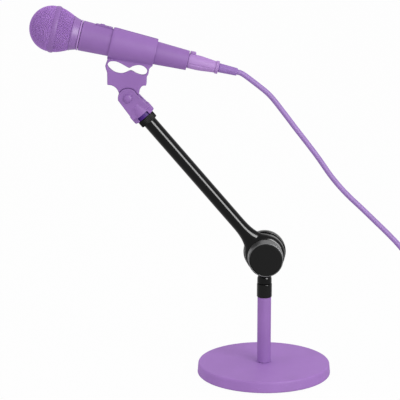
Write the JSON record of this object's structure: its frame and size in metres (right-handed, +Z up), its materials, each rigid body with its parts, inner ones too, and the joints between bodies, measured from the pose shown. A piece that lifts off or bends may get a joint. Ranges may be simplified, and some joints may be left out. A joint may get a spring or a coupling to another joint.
{
  "type": "desk boom microphone",
  "caption": "Handheld vocal microphone in a shock-absorbing clip, on a short boom arm with a friction hinge and a weighted round desk base, with its cable and plug.",
  "frame": {"origin": "middle of the base's underside, on the table", "axes": "+Z up, the arm leans towards -X, the front of the hinge faces -Y"},
  "size_m": [0.5448, 0.1641, 0.4235],
  "materials": {
    "purple_iron": "powder coat",
    "purple_paint": "satin paint",
    "purple_mesh": "painted wire mesh",
    "purple_plastic": "moulded, fine grain",
    "purple_shell": "satin lacquer",
    "purple_rubber": "matte",
    "purple_cable": "matte jacket",
    "lilac_metal": "satin",
    "black_cast": "gloss black paint",
    "black_satin": "satin",
    "steel": "zinc plated",
    "brass": "machined",
    "rubber": "matte",
    "foam": "open cell foam",
    "capsule": "satin",
    "tie": "woven hook and loop"
  },
  "bodies": {
    "stand": {"base_plate": "purple_iron", "base_pad": "rubber", "pole_nut": "steel", "pole": "purple_paint", "pole_socket": "black_cast", "hinge_hub": "black_cast", "hinge_bolt": "steel", "friction_washer": "rubber", "cable_lower": "purple_cable", "cable_coil": "purple_cable", "cable_tie": "tie", "plug_boot": "purple_rubber", "plug_shell": "lilac_metal", "plug_pin": "steel"},
    "arm": {"boom_arm": "black_cast", "spring_washer": "steel", "tip_collar": "black_satin", "tip_stud": "steel", "clip_base": "purple_plastic", "clip_insert": "brass", "pivot_bolt": "steel", "pivot_nut": "steel"},
    "knob": {"clutch_knob": "black_satin", "knob_cap": "black_satin", "knob_insert": "brass"},
    "microphone": {"clip_cradle": "purple_plastic", "mic_handle": "purple_shell", "neck_ring": "lilac_metal", "grille_collar": "purple_paint", "grille_rear": "purple_mesh", "grille_band": "purple_paint", "grille_front": "purple_mesh", "foam_liner": "foam", "mic_capsule": "capsule", "capsule_mount": "rubber", "switch_plate": "purple_shell", "switch_body": "black_satin", "socket_insert": "black_satin", "socket_pin_1": "brass", "socket_pin_2": "brass", "socket_pin_3": "brass", "connector_shell": "lilac_metal", "contact_insert": "black_satin", "connector_ring": "lilac_metal", "cable_boot": "purple_rubber", "cable_upper": "purple_cable"},
    "switch": {"switch_slider": "purple_shell"},
    "latch": {"connector_latch": "lilac_metal"}
  },
  "joints": [
    {"name": "arm_tilt", "type": "hinge", "parent": "stand", "child": "arm", "pos_m": [0, 0, 0.143], "axis": [0, 1, 0], "range_deg": [-60, 40], "deforming": ["cable_upper", "cable_lower"]},
    {"name": "knob_turn", "type": "hinge", "parent": "stand", "child": "knob", "pos_m": [0, 0, 0.143], "axis": [0, -1, 0], "range_deg": [0, 360]},
    {"name": "clip_tilt", "type": "hinge", "parent": "arm", "child": "microphone", "pos_m": [-0.15263, -0.0084, 0.32234], "axis": [0, 1, 0], "range_deg": [-60, 0], "deforming": ["cable_upper", "cable_lower"]},
    {"name": "switch_slide", "type": "slide", "parent": "microphone", "child": "switch", "axis": [0.9732, 0, -0.23], "range_m": [0, 0.004]},
    {"name": "latch_press", "type": "slide", "parent": "microphone", "child": "latch", "axis": [-0.23, 0, -0.9732], "range_m": [0, 0.0011], "stiffness_N_per_m": 300}
  ]
}
